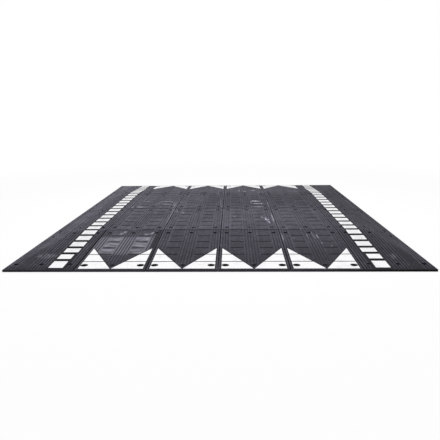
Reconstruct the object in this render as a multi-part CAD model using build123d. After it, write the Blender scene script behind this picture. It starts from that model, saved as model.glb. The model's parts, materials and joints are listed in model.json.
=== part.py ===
from build123d import *
import os

# Modular speed table: rubber modules laid edge to edge on the road, ramped at the front and rear for
# the traffic and at the left and right towards the kerbs. White inlays mark the ramps and the sides.
# The origin is on the road under the middle of the table, +X runs across the road, +Y along the traffic.

# Layout of the table
COLUMNS = 6
ROWS = 4
COLUMN_PITCH = 500.0
ROW_PITCH = 1000.0
SEAM_GAP = 3.0

# Height of the table and its slopes
TOP_HEIGHT = 65.0
EDGE_HEIGHT = 15.0
SIDE_RAMP_RUN = 250.0
RIM_CHAMFER = 4.0

# Bolt holes: two rows of three in every module, on one seat height so that one bolt length fits all.
# In the side and corner modules they stand further in, away from the low edges.
HOLE_SIDE_INSET = 50.0
HOLE_END_INSET = 95.0
KERB_HOLE_SIDE_INSET = 56.0
CORNER_HOLE_END_INSET = 115.0
BOLT_HOLE_DIAMETER = 15.0
SEAT_HEIGHT = 6.0
BOSS_DIAMETER = 48.0

# Washers on the bolt seats, with room around them for the socket that turns the bolt
WASHER_DIAMETER = 28.0
WASHER_THICKNESS = 2.5
WASHER_SIDE_CLEARANCE = 4.0

# Tread: bands of fine ribs beside two columns of pads, which cross grooves part from each other.
# On the ramps the grooves lie closer together and nearer to the low edge.
EDGE_BAND = 86.0
KERB_MIDDLE_BAND = 142.0
PAD_WIDTH = 103.0
CROSS_GROOVE_COUNT = 5
CROSS_GROOVE_PITCH = 164.0
RAMP_GROOVE_PITCH = 160.0
RAMP_GROOVE_SHIFT = 8.0
CROSS_GROOVE_WIDTH = 12.0
CROSS_GROOVE_DEPTH = 5.0
RIB_PITCH = 22.5
RIB_GROOVE_WIDTH = 7.0
RIB_GROOVE_DEPTH = 4.0
RIB_END_MARGIN = 20.0
RIB_BAND_MARGIN = 12.0
RIB_CLEAR_OF_INLAY = 8.0

# White inlays, let into the top flush with it
INLAY_THICKNESS = 2.0
INLAY_SIDE_CLEARANCE = 0.3
TRIANGLE_SIDE_MARGIN = 22.0
TRIANGLE_END_MARGIN = 25.0
TRIANGLE_LENGTH = 454.0
TRIANGLE_TIP_GAP = 6.0
TRIANGLE_HOLE_DIAMETER = 52.0
BLOCK_COUNT = 6
BLOCK_GAP = 50.0
BLOCK_WIDTH = 114.0
BLOCK_SEAM_REACH = 191.0

# Blocks at the low end of a corner, as lengths and widths. The gap over the corner's rear seam lies a
# little behind that seam.
CORNER_BLOCK_MARGIN = 43.0
LOW_BLOCKS = ((139.0, 102.0), (103.0, 102.0), (97.0, BLOCK_WIDTH))
SEAM_BLOCK_GAP_SHIFT = 11.0

# Bow-tie keys under the seams, two for each pair of neighbouring modules
KEY_LENGTH = 120.0
KEY_HEAD_WIDTH = 60.0
KEY_WAIST_WIDTH = 30.0
KEY_THICKNESS = 10.0
KEY_ABOVE_ROAD = 0.5
KEY_SIDE_CLEARANCE = 0.3
KEY_SPREAD_ALONG_COLUMN_SEAM = 400.0
KEY_SPREAD_ALONG_ROW_SEAM = 200.0

# Sizes that follow from those above
HALF_WIDTH = (COLUMN_PITCH - SEAM_GAP) / 2
HALF_LENGTH = (ROW_PITCH - SEAM_GAP) / 2
COUNTERBORE_DIAMETER = WASHER_DIAMETER + 2 * WASHER_SIDE_CLEARANCE
PAD_CENTRE = COLUMN_PITCH / 2 - EDGE_BAND - PAD_WIDTH / 2
CENTRE_BAND = COLUMN_PITCH - 2 * (EDGE_BAND + PAD_WIDTH)
BLOCK_OUTER_EDGE = COLUMN_PITCH / 2 - BLOCK_SEAM_REACH
KERB_MIDDLE = BLOCK_OUTER_EDGE - KERB_MIDDLE_BAND / 2
KEY_SEAT = KEY_ABOVE_ROAD + KEY_THICKNESS

LAST_COLUMN = COLUMNS - 1
LAST_ROW = ROWS - 1


# Blocks: the outer form of each kind of module, centred on its own origin

def flat_block():
    return extrude(Rectangle(2 * HALF_WIDTH, 2 * HALF_LENGTH), TOP_HEIGHT)


def ramp_block():
    """Rises over its whole length from the front edge."""
    outline = Polygon(
        (-HALF_LENGTH, 0), (HALF_LENGTH, 0), (HALF_LENGTH, TOP_HEIGHT), (-HALF_LENGTH, EDGE_HEIGHT),
        align=None,
    )
    return extrude(Plane.YZ * outline, HALF_WIDTH, both=True)


def side_block():
    """Rises from the left edge over the side ramp's run, then stays level."""
    slope_top = SIDE_RAMP_RUN - HALF_WIDTH
    outline = Polygon(
        (-HALF_WIDTH, 0), (HALF_WIDTH, 0), (HALF_WIDTH, TOP_HEIGHT),
        (slope_top, TOP_HEIGHT), (-HALF_WIDTH, EDGE_HEIGHT),
        align=None,
    )
    return extrude(Plane.XZ * outline, HALF_LENGTH, both=True)


def corner_block():
    """Front left corner: as low as the lower one of the two slopes that meet there."""
    return ramp_block() & side_block()


def rimmed(block, joined_sides):
    """A block with its top edges bevelled along the seams. The low lip stays square."""

    def on_rim(edge):
        middle = edge.center()
        inset = {
            "left": HALF_WIDTH + middle.X, "right": HALF_WIDTH - middle.X,
            "front": HALF_LENGTH + middle.Y, "rear": HALF_LENGTH - middle.Y,
        }
        at_top = edge.bounding_box().min.Z > EDGE_HEIGHT / 2
        return at_top and min(inset[side] for side in joined_sides) < SEAM_GAP

    return chamfer([edge for edge in block.edges() if on_rim(edge)], RIM_CHAMFER)


# Outlines of the tread and the inlays, seen from above

def hole_places(column, row):
    """Middles of a module's six bolt holes, from the middle of the module."""
    middle = {0: KERB_MIDDLE, LAST_COLUMN: -KERB_MIDDLE}.get(column, 0.0)
    at_kerb = column in (0, LAST_COLUMN)
    outer = COLUMN_PITCH / 2 - (KERB_HOLE_SIDE_INSET if at_kerb else HOLE_SIDE_INSET)
    front = CORNER_HOLE_END_INSET if at_kerb and row == 0 else HOLE_END_INSET
    rear = CORNER_HOLE_END_INSET if at_kerb and row == LAST_ROW else HOLE_END_INSET
    along = [front - ROW_PITCH / 2, ROW_PITCH / 2 - rear]
    return [(x, y) for y in along for x in (-outer, middle, outer)]


CORNER_HOLES = hole_places(0, 0)
SIDE_HOLES = hole_places(0, 1)
RAMP_HOLES = hole_places(1, 0)
FLAT_HOLES = hole_places(1, 1)


def circles_at(places, diameter):
    return [Pos(x, y) * Circle(diameter / 2) for x, y in places]


def rib_outlines(band_centre, band_width):
    """Fine grooves along the traffic, as many as fit in the band, clear of the bolt holes."""
    count = int((band_width - 2 * RIB_BAND_MARGIN) / RIB_PITCH) + 1
    first = band_centre - (count - 1) / 2 * RIB_PITCH
    groove = Rectangle(RIB_GROOVE_WIDTH, ROW_PITCH - 2 * RIB_END_MARGIN)
    return [Pos(first + i * RIB_PITCH, 0) * groove for i in range(count)]


def groove_places(pitch, middle):
    """Places of a module's cross grooves along it."""
    first = middle - (CROSS_GROOVE_COUNT - 1) / 2 * pitch
    return [first + i * pitch for i in range(CROSS_GROOVE_COUNT)]


FLAT_GROOVES = groove_places(CROSS_GROOVE_PITCH, 0)
RAMP_GROOVES = groove_places(RAMP_GROOVE_PITCH, -RAMP_GROOVE_SHIFT)


def pad_groove_outlines(places):
    """The cross grooves of both columns of pads."""
    groove = Rectangle(PAD_WIDTH, CROSS_GROOVE_WIDTH)
    return [Pos(x, y) * groove for x in (-PAD_CENTRE, PAD_CENTRE) for y in places]


def triangle(side, clearance):
    """Right-angled triangle along the left (-1) or right (1) side of a ramp module, base at the front."""
    inner = side * TRIANGLE_TIP_GAP / 2
    outer = side * (COLUMN_PITCH / 2 - TRIANGLE_SIDE_MARGIN)
    base = TRIANGLE_END_MARGIN - ROW_PITCH / 2
    corners = [(inner, base), (outer, base), (outer, base + TRIANGLE_LENGTH)]
    outline = Polygon(*corners[::side], align=None)
    if clearance == 0:
        return outline
    return offset(outline, amount=-clearance, kind=Kind.INTERSECTION)


def triangle_outlines(clearance):
    """Both triangles of a ramp module, parted by the cross grooves and cut round at the bolt holes."""
    bar = Rectangle(COLUMN_PITCH, CROSS_GROOVE_WIDTH + 2 * clearance)
    bars = [Pos(0, y) * bar for y in RAMP_GROOVES]
    holes = circles_at(RAMP_HOLES, TRIANGLE_HOLE_DIAMETER + 2 * clearance)
    return Sketch() + [triangle(side, clearance) for side in (-1, 1)] - bars - holes


def triangle_groove_outlines():
    """The cross grooves where they run through the triangles."""
    bars = [Pos(0, y) * Rectangle(COLUMN_PITCH, CROSS_GROOVE_WIDTH) for y in RAMP_GROOVES]
    return (Sketch() + bars) & (Sketch() + [triangle(side, 0) for side in (-1, 1)])


def even_spans(start, end, count):
    """Start, end and width of equal blocks between two places, half a gap off at both of them."""
    pitch = (end - start) / count
    length = pitch - BLOCK_GAP
    firsts = [start + i * pitch + BLOCK_GAP / 2 for i in range(count)]
    return [(first, first + length, BLOCK_WIDTH) for first in firsts]


def corner_spans():
    """Low blocks first, then equal ones up to the gap over the rear seam."""
    spans = []
    start = CORNER_BLOCK_MARGIN - ROW_PITCH / 2
    for length, width in LOW_BLOCKS:
        spans.append((start, start + length, width))
        start += length + BLOCK_GAP
    seam_gap = ROW_PITCH / 2 + SEAM_BLOCK_GAP_SHIFT
    return spans + even_spans(start - BLOCK_GAP / 2, seam_gap, BLOCK_COUNT - len(spans))


def side_spans():
    """Equal blocks, of which the first one is cut short by the gap over the corner's seam."""
    (start, end, width), *others = even_spans(-ROW_PITCH / 2, ROW_PITCH / 2, BLOCK_COUNT)
    return [(start + SEAM_BLOCK_GAP_SHIFT, end, width)] + others


SIDE_SPANS = side_spans()
CORNER_SPANS = corner_spans()


def block_outlines(spans, clearance):
    """Blocks of a left side or corner module, in line along their outer edges."""
    blocks = [
        Pos(BLOCK_OUTER_EDGE + width / 2, (start + end) / 2)
        * Rectangle(width - 2 * clearance, end - start - 2 * clearance)
        for start, end, width in spans
    ]
    return Sketch() + blocks


def block_gap_outlines(spans):
    """A cross groove in the middle of each gap between two blocks, as wide as the narrower one."""
    grooves = []
    for (_, end, width), (start, _, _) in zip(spans, spans[1:]):
        groove = Rectangle(width, CROSS_GROOVE_WIDTH)
        grooves.append(Pos(BLOCK_OUTER_EDGE + width / 2, (end + start) / 2) * groove)
    return grooves


# Cuts and layers that follow the slope of a block's top

def lowered(block, depth):
    return Pos(0, 0, -depth) * block


def recess(block, outlines, depth):
    """The space over the outlines, down to a floor at the same depth everywhere under the top."""
    return extrude(outlines, TOP_HEIGHT) - lowered(block, depth)


def inlay(block, outlines):
    """Pieces of the top layer of a block, one for each outline."""
    return (extrude(outlines, TOP_HEIGHT) & block) - lowered(block, INLAY_THICKNESS)


def bolt_hole():
    through = extrude(Circle(BOLT_HOLE_DIAMETER / 2), SEAT_HEIGHT)
    counterbore = extrude(Circle(COUNTERBORE_DIAMETER / 2), TOP_HEIGHT)
    return through + Pos(0, 0, SEAT_HEIGHT) * counterbore


# Bow-tie keys and their pockets

def key_outline(clearance):
    length = KEY_LENGTH / 2
    head = KEY_HEAD_WIDTH / 2
    waist = KEY_WAIST_WIDTH / 2
    outline = Polygon(
        (-length, -head), (0, -waist), (length, -head), (length, head), (0, waist), (-length, head),
        align=None,
    )
    if clearance == 0:
        return outline
    return offset(outline, amount=clearance, kind=Kind.INTERSECTION)


def key_places(side):
    """Where the two keys of one side of a module lie, turned across the seam."""
    if side in ("left", "right"):
        x = COLUMN_PITCH / 2 * (1 if side == "right" else -1)
        spread = KEY_SPREAD_ALONG_COLUMN_SEAM / 2
        return [Pos(x, y) for y in (-spread, spread)]
    y = ROW_PITCH / 2 * (1 if side == "rear" else -1)
    spread = KEY_SPREAD_ALONG_ROW_SEAM / 2
    return [Pos(x, y) * Rot(0, 0, 90) for x in (-spread, spread)]


def key():
    return Pos(0, 0, KEY_ABOVE_ROAD) * extrude(key_outline(0), KEY_THICKNESS)


def key_pockets(sides):
    pocket = extrude(key_outline(KEY_SIDE_CLEARANCE), KEY_SEAT)
    return [place * pocket for side in sides for place in key_places(side)]


# Modules: a block with its rim, tread, inlay recesses, bolt holes and key pockets

def module(body, block, holes, ribs, cross_grooves, inlays, joined_sides):
    """Cuts the tread and the rest into a rimmed body. The plain block gives the slope of its top."""
    ribs = Sketch() + ribs - circles_at(holes, BOSS_DIAMETER)
    body -= recess(block, ribs, RIB_GROOVE_DEPTH)
    body -= recess(block, Sketch() + cross_grooves, CROSS_GROOVE_DEPTH)
    if inlays is not None:
        body -= recess(block, inlays, INLAY_THICKNESS)
    body -= [Pos(x, y) * bolt_hole() for x, y in holes]
    body -= key_pockets(joined_sides)
    return body


EDGE_BAND_CENTRE = COLUMN_PITCH / 2 - EDGE_BAND / 2
LEFT_RIBS = rib_outlines(-EDGE_BAND_CENTRE, EDGE_BAND)
CENTRE_RIBS = rib_outlines(0, CENTRE_BAND)
RIGHT_RIBS = rib_outlines(EDGE_BAND_CENTRE, EDGE_BAND)
KERB_MIDDLE_RIBS = rib_outlines(KERB_MIDDLE, KERB_MIDDLE_BAND)


def flat_module():
    block = flat_block()
    ribs = LEFT_RIBS + CENTRE_RIBS + RIGHT_RIBS
    grooves = pad_groove_outlines(FLAT_GROOVES)
    sides = ("left", "right", "front", "rear")
    return module(rimmed(block, sides), block, FLAT_HOLES, ribs, grooves, None, sides)


def ramp_module():
    """Front ramp: its ribs stop short of the triangles, and its cross grooves run through them."""
    around = [offset(triangle(s, 0), amount=RIB_CLEAR_OF_INLAY, kind=Kind.INTERSECTION) for s in (-1, 1)]
    ribs = (Sketch() + (LEFT_RIBS + CENTRE_RIBS + RIGHT_RIBS) - around).faces()
    grooves = pad_groove_outlines(RAMP_GROOVES) + triangle_groove_outlines().faces()
    block = ramp_block()
    sides = ("left", "right", "rear")
    return module(rimmed(block, sides), block, RAMP_HOLES, ribs, grooves, triangle_outlines(0), sides)


def marked_module(body, block, holes, spans, joined_sides):
    """Left side or corner: blocks between two bands of ribs, a plain slope, and ribs along the low edge."""
    ribs = LEFT_RIBS + KERB_MIDDLE_RIBS + RIGHT_RIBS
    grooves = block_gap_outlines(spans)
    return module(body, block, holes, ribs, grooves, block_outlines(spans, 0), joined_sides)


def side_module():
    sides = ("right", "front", "rear")
    body = rimmed(side_block(), sides)
    return marked_module(body, side_block(), SIDE_HOLES, SIDE_SPANS, sides)


def corner_module():
    sides = ("right", "rear")
    body = rimmed(ramp_block(), sides) & rimmed(side_block(), sides)
    return marked_module(body, corner_block(), CORNER_HOLES, CORNER_SPANS, sides)


def side_blocks(block, spans):
    return inlay(block, block_outlines(spans, INLAY_SIDE_CLEARANCE))


def ramp_triangles():
    return inlay(ramp_block(), triangle_outlines(INLAY_SIDE_CLEARANCE))


# Places of the modules on the road, counted from the left and from the front

def place(column, row):
    x = (column - (COLUMNS - 1) / 2) * COLUMN_PITCH
    y = (row - (ROWS - 1) / 2) * ROW_PITCH
    return Pos(x, y)


HALF_TURN = Rot(0, 0, 180)
nodes = {}

corner = corner_module()
corner_marks = side_blocks(corner_block(), CORNER_SPANS)
other_corner = mirror(corner, Plane.YZ)
other_corner_marks = mirror(corner_marks, Plane.YZ)
side = side_module()
side_marks = side_blocks(side_block(), SIDE_SPANS)
other_side = mirror(side, Plane.YZ)
other_side_marks = mirror(side_marks, Plane.YZ)
ramp = ramp_module()
ramp_marks = ramp_triangles()
flat = flat_module()

nodes["front_left_corner"] = place(0, 0) * corner
nodes["front_right_corner"] = place(LAST_COLUMN, 0) * other_corner
nodes["rear_right_corner"] = place(LAST_COLUMN, LAST_ROW) * HALF_TURN * corner
nodes["rear_left_corner"] = place(0, LAST_ROW) * HALF_TURN * other_corner
nodes["left_blocks_1"] = place(0, 0) * corner_marks
nodes["right_blocks_1"] = place(LAST_COLUMN, 0) * other_corner_marks
nodes[f"right_blocks_{ROWS}"] = place(LAST_COLUMN, LAST_ROW) * HALF_TURN * corner_marks
nodes[f"left_blocks_{ROWS}"] = place(0, LAST_ROW) * HALF_TURN * other_corner_marks

for row in range(1, LAST_ROW):
    if row < ROWS / 2:
        left, left_marks, right, right_marks = side, side_marks, other_side, other_side_marks
    else:
        pieces = (other_side, other_side_marks, side, side_marks)
        left, left_marks, right, right_marks = [HALF_TURN * piece for piece in pieces]
    nodes[f"left_side_{row}"] = place(0, row) * left
    nodes[f"left_blocks_{row + 1}"] = place(0, row) * left_marks
    nodes[f"right_side_{row}"] = place(LAST_COLUMN, row) * right
    nodes[f"right_blocks_{row + 1}"] = place(LAST_COLUMN, row) * right_marks

for column in range(1, LAST_COLUMN):
    nodes[f"front_ramp_{column}"] = place(column, 0) * ramp
    nodes[f"front_triangles_{column}"] = place(column, 0) * ramp_marks
    nodes[f"rear_ramp_{column}"] = place(column, LAST_ROW) * HALF_TURN * ramp
    nodes[f"rear_triangles_{column}"] = place(column, LAST_ROW) * HALF_TURN * ramp_marks
    for row in range(1, LAST_ROW):
        nodes[f"top_{row}_{column}"] = place(column, row) * flat

washer_ring = Circle(WASHER_DIAMETER / 2) - Circle(BOLT_HOLE_DIAMETER / 2)
washer = Pos(0, 0, SEAT_HEIGHT) * extrude(washer_ring, WASHER_THICKNESS)
for column in range(COLUMNS):
    washers = [
        place(column, row) * Pos(x, y) * washer
        for row in range(ROWS)
        for x, y in hole_places(column, row)
    ]
    nodes[f"seat_washers_{column + 1}"] = Compound(children=washers)

for seam in range(1, COLUMNS):
    keys = [place(seam, row) * spot * key() for row in range(ROWS) for spot in key_places("left")]
    nodes[f"column_seam_keys_{seam}"] = Compound(children=keys)

for seam in range(1, ROWS):
    keys = [place(column, seam) * spot * key() for column in range(COLUMNS) for spot in key_places("front")]
    nodes[f"row_seam_keys_{seam}"] = Compound(children=keys)

os.makedirs("parts", exist_ok=True)
for name, solid in nodes.items():
    solid.label = name
    export_step(solid, f"parts/{name}.step")
print(len(nodes), "nodes written")
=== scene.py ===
# %% [markdown]
# # A modular speed table
# Twenty-four moulded rubber modules are bolted edge to edge on a road. The outer ones slope down to a
# thin lip, white inlays mark the ramps and the two sides, and every module has six bolt holes.
# The solids come in at their real size and place, in metres. This notebook rounds their edges, gives
# each piece the finish of its real material and lights the table in a plain studio.

# %% Load the solids
import json
import math

import bmesh
import bpy
from mathutils import Matrix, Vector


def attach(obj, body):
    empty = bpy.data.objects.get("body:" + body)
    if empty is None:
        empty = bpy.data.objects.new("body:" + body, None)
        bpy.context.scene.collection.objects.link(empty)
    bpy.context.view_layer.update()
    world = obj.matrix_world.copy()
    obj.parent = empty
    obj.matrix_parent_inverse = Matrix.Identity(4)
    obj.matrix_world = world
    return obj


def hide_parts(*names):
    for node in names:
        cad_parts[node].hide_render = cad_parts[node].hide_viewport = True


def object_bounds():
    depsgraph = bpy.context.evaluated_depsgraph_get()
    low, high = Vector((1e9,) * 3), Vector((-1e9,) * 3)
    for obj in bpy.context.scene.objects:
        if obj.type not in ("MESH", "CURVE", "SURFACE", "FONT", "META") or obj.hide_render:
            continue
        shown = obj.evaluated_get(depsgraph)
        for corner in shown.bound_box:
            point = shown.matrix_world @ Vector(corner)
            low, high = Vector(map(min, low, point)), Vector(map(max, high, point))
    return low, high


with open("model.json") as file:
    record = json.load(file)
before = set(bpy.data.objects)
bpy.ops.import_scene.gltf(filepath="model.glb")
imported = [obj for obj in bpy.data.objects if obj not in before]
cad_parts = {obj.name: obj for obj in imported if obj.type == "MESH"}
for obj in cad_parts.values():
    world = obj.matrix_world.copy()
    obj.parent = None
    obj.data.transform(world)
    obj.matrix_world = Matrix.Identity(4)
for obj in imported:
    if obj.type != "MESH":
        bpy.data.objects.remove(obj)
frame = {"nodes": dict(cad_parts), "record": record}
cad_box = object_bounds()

nodes = frame["nodes"]
slots = {part["node"]: part["material_slot"] for part in frame["record"]["subparts"]}
print(len(nodes), "nodes in a box of", [round(side, 3) for side in cad_box[1] - cad_box[0]], "m")

# %% [markdown]
# ## The camera
# The photo looks along the traffic from a little over a metre above the road. A camera could be aimed
# with a Track To constraint, but three plain turns also hold the slight roll of a hand-held camera:
# the roll comes first, then the tilt down to the table, then the heading, and last the place.

# %% Camera
PHOTO_SIDE = 440
FOCAL_PIXELS = 520.9
SENSOR = 36.0
EYE = (0.1032, -5.4226, 1.0973)
HEADING = math.radians(1.44)
TILT_DOWN = math.radians(12.086)
ROLL = math.radians(-0.503)

camera_data = bpy.data.cameras.new("camera")
camera_data.sensor_width = SENSOR
camera_data.lens = FOCAL_PIXELS * SENSOR / PHOTO_SIDE
camera = bpy.data.objects.new("camera", camera_data)
bpy.context.scene.collection.objects.link(camera)
turn = Matrix.Rotation(HEADING, 4, "Z")
turn @= Matrix.Rotation(math.pi / 2 - TILT_DOWN, 4, "X")
turn @= Matrix.Rotation(ROLL, 4, "Z")
camera.matrix_world = Matrix.Translation(EYE) @ turn
bpy.context.scene.camera = camera
bpy.context.scene.view_settings.view_transform = "Standard"
print("camera lens", round(camera_data.lens, 2), "mm")

# %% [markdown]
# ## Two helpers for every material
# Colours are picked as sRGB hex codes, as in a paint program, but shaders add light in linear values,
# so one function turns the first into the second. The other adds a node: it takes the node's settings
# and then, for its inputs, plain values or other nodes to link. Written out by hand, each of those
# would be three or four lines. The settings that come up often have a name of their own.

# %% Colour and node helpers
def linear(code):
    """A linear colour, with full alpha, from an sRGB hex code such as '#4a484f'."""
    channels = [int(code[start:start + 2], 16) / 255 for start in (1, 3, 5)]
    return [c / 12.92 if c <= 0.04045 else ((c + 0.055) / 1.055) ** 2.4 for c in channels] + [1.0]


def add(tree, kind, settings, *values, **named):
    """Adds a node. Values go to its open inputs in order, or by name, and a node or socket is linked."""
    node = tree.nodes.new("ShaderNode" + kind)
    for name, value in settings.items():
        setattr(node, name, value)
    inputs = [socket for socket in node.inputs if socket.enabled]
    by_name = {socket.name: socket for socket in inputs}
    pairs = list(zip(inputs, values))
    pairs += [(by_name[name.replace("_", " ")], value) for name, value in named.items()]
    for socket, value in pairs:
        if isinstance(value, bpy.types.Node):
            value = [output for output in value.outputs if output.enabled][0]
        if isinstance(value, bpy.types.NodeSocket):
            tree.links.new(value, socket)
        else:
            socket.default_value = value
    return node


def new_material(name):
    """An empty material and its node tree."""
    material = bpy.data.materials.new(name)
    material.use_nodes = True
    material.node_tree.nodes.clear()
    return material, material.node_tree


PLUS = {"operation": "ADD"}
MINUS = {"operation": "SUBTRACT"}
TIMES = {"operation": "MULTIPLY"}
TIMES_PLUS = {"operation": "MULTIPLY_ADD"}
LEAST = {"operation": "MINIMUM"}
MOST = {"operation": "MAXIMUM"}
LESS = {"operation": "LESS_THAN"}
UNSIGNED = {"operation": "ABSOLUTE"}
TO_AND_FRO = {"operation": "PINGPONG"}
LENGTH = {"operation": "LENGTH"}
SOFT_STEP = {"interpolation_type": "SMOOTHSTEP"}
COLOUR = {"data_type": "RGBA"}
# A Mapping node set like this takes the place, turn and size of the pattern itself.
PATTERN = {"vector_type": "TEXTURE"}
print("grey #808080 is", round(linear("#808080")[0], 3), "in linear light")

# %% [markdown]
# ## The studio
# The table lies on a white sweep under one wide soft lamp. The lamp and the world together light a
# level surface so that a colour comes out about as it was picked. More light would whiten the
# background, but it would bleach the white inlays too. Instead, rays that come straight from the
# camera, or by way of a mirror or glass, see a brighter world than the rays that light the table.

# %% World
SKY_LIGHT = 0.6


def looking_rays(tree):
    """1 for rays from the camera, off a mirror or through glass, and 0 for rays that carry light."""
    rays = add(tree, "LightPath", {}).outputs
    mirrored = add(tree, "Math", MOST, rays["Is Camera Ray"], rays["Is Glossy Ray"])
    return add(tree, "Math", MOST, mirrored, rays["Is Transmission Ray"])


world = bpy.data.worlds.new("studio")
bpy.context.scene.world = world
world.use_nodes = True
tree = world.node_tree
tree.nodes.clear()
light = add(tree, "Background", {}, Color=linear("#ffffff"), Strength=SKY_LIGHT)
white = add(tree, "Background", {}, Color=linear("#ffffff"), Strength=1.0)
sky = add(tree, "MixShader", {}, looking_rays(tree), light, white)
add(tree, "OutputWorld", {}, Surface=sky)
print("world", world.name)

# %% [markdown]
# ## The floor
# A white floor that only reflected light would fall off to grey with distance and show a horizon, so
# this one also glows for rays that look at it. Near the table most of its white is glow and the rest
# is lit, which leaves a faint shadow, and far away it is all glow and meets the world unseen. Under
# the table it doesn't glow, because the seams would shine. It lies a hair below the table, as a road
# that isn't quite even does, and that leaves a thin bright gap under the lip.

# %% Floor
MM = 0.001
FLOOR_REACH = 60
FLOOR_DROP = 1 * MM
NEAR_GLOW = 0.75
FADE_FROM = 2.5
FADE_TO = 6.0

sheet = bmesh.new()
bmesh.ops.create_grid(sheet, x_segments=1, y_segments=1, size=FLOOR_REACH)
bmesh.ops.translate(sheet, verts=sheet.verts, vec=(0, 0, -FLOOR_DROP))
floor_mesh = bpy.data.meshes.new("floor")
sheet.to_mesh(floor_mesh)
sheet.free()
floor = bpy.data.objects.new("floor", floor_mesh)
bpy.context.scene.collection.objects.link(floor)

material, tree = new_material("white_sweep")
place = add(tree, "TexCoord", {}).outputs["Object"]
reach = add(tree, "VectorMath", LENGTH, place)
glow_share = add(tree, "MapRange", SOFT_STEP, reach, FADE_FROM, FADE_TO, NEAR_GLOW, 1.0)
x, y = add(tree, "SeparateXYZ", {}, place).outputs[:2]
beside = add(tree, "Math", LESS, cad_box[1].x, add(tree, "Math", UNSIGNED, x))
beyond = add(tree, "Math", LESS, cad_box[1].y, add(tree, "Math", UNSIGNED, y))
glow_share = add(tree, "Math", TIMES, glow_share, add(tree, "Math", MOST, beside, beyond))
glow_share = add(tree, "Math", TIMES, glow_share, looking_rays(tree))
paint = add(tree, "BsdfDiffuse", {}, Color=linear("#ffffff"))
glow = add(tree, "Emission", {}, Color=linear("#ffffff"), Strength=1.0)
add(tree, "OutputMaterial", {}, Surface=add(tree, "MixShader", {}, glow_share, paint, glow))
floor_mesh.materials.append(material)
print("floor", 2 * FLOOR_REACH, "m across")

# %% [markdown]
# ## The lamp
# A studio hangs a wide soft box over a flat object. A Sun lamp would be simpler, but it draws a hard
# shadow beside every edge. An area lamp twice as wide and twice as long as the table also reaches into
# the grooves, and its shadows are soft.

# %% Lamp
LAMP_WIDTH = 6
LAMP_LENGTH = 8
LAMP_HEIGHT = 5
LAMP_WATTS = 180

lamp_data = bpy.data.lights.new("overhead", "AREA")
lamp_data.shape = "RECTANGLE"
lamp_data.size = LAMP_WIDTH
lamp_data.size_y = LAMP_LENGTH
lamp_data.energy = LAMP_WATTS
lamp = bpy.data.objects.new("overhead", lamp_data)
lamp.location = (0, 0, LAMP_HEIGHT)
bpy.context.scene.collection.objects.link(lamp)
print("lamp", LAMP_WATTS, "W at", LAMP_HEIGHT, "m")

# %% [markdown]
# ## Rounded edges
# No moulded or punched edge is a perfect corner. Its small radius catches a line of light, and without
# it a model looks like paper. The Bevel modifier could do this, but a solid that was cut into triangles
# has thousands of edges inside its flat faces. So each solid is copied, its triangles are merged back
# into flat faces, the outer edges that really turn are picked by their angle, and only those are
# bevelled. The inner edges of grooves and holes stay sharp, as in the mould.

# %% Rounded copies
FLAT_ANGLE = math.radians(0.5)
SHARP_ANGLE = math.radians(30)
EDGE_RADIUS = {
    "rubber": 1.2 * MM, "white_inlay": 0.9 * MM, "washer_steel": 0.4 * MM, "key_plastic": 1.0 * MM}
# Slivers shorter than this are closed up first, so that no bevel is wider than the edge it rounds.
CLOSE_UP = {
    "rubber": 0.5 * MM, "white_inlay": 0.05 * MM, "washer_steel": 0.01 * MM, "key_plastic": 0.05 * MM}


def turns(edge):
    """True for an outer edge that turns more than the faces of a round hole do."""
    return edge.is_manifold and edge.is_convex and edge.calc_face_angle() > SHARP_ANGLE


def rounded_copy(name):
    """A new piece with the node's shape and its outer edges rounded."""
    shape = bmesh.new()
    shape.from_mesh(nodes[name].data)
    bmesh.ops.remove_doubles(shape, verts=shape.verts, dist=CLOSE_UP[slots[name]])
    bmesh.ops.dissolve_limit(shape, angle_limit=FLAT_ANGLE, verts=shape.verts, edges=shape.edges)
    edges = [edge for edge in shape.edges if turns(edge)]
    bmesh.ops.bevel(
        shape, geom=edges, offset=EDGE_RADIUS[slots[name]], offset_type="OFFSET", segments=2, profile=0.5,
        affect="EDGES", material=-1, clamp_overlap=False)
    for face in shape.faces:
        face.smooth = True
    mesh = bpy.data.meshes.new(name + "_rounded")
    shape.to_mesh(mesh)
    shape.free()
    piece = bpy.data.objects.new(name + "_rounded", mesh)
    bpy.context.scene.collection.objects.link(piece)
    piece.modifiers.new("flat faces stay flat", "WEIGHTED_NORMAL")
    return piece


pieces = {name: rounded_copy(name) for name in nodes}
print(len(pieces), "pieces,", sum(len(piece.data.polygons) for piece in pieces.values()), "faces")

# %% [markdown]
# ## Where a point lies on the table
# The wear on the rubber follows the table's own shape, and so does the light and shade painted into it:
# dust lies on the tread and not down in the grooves, feet and tyres polish the raised pads, whose sheen is
# painted, and the edges along the seams rub pale and carry a painted highlight. A painted picture could
# hold all that, but sums on the point's own place hold it at any closeness.
# The tread is the lowest of three planes, the level top, the ramps and the sides, so the depth of a
# point under it is known everywhere. A number that runs to and fro measures how far the seam is.

# %% Places on the tread
TOP_HEIGHT = cad_box[1].z
LIP_HEIGHT = 15 * MM
COLUMN_PITCH = 500 * MM
ROW_PITCH = 1000 * MM
HALF_WIDTH = cad_box[1].x
HALF_LENGTH = cad_box[1].y
SEAM_GAP = 2 * (2 * ROW_PITCH - HALF_LENGTH)
SIDE_SLOPE = (TOP_HEIGHT - LIP_HEIGHT) / (COLUMN_PITCH / 2)
RAMP_SLOPE = (TOP_HEIGHT - LIP_HEIGHT) / (ROW_PITCH - SEAM_GAP)
HIP_SOFTNESS = 8 * MM
LIP_DEPTH = 3 * MM


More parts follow.
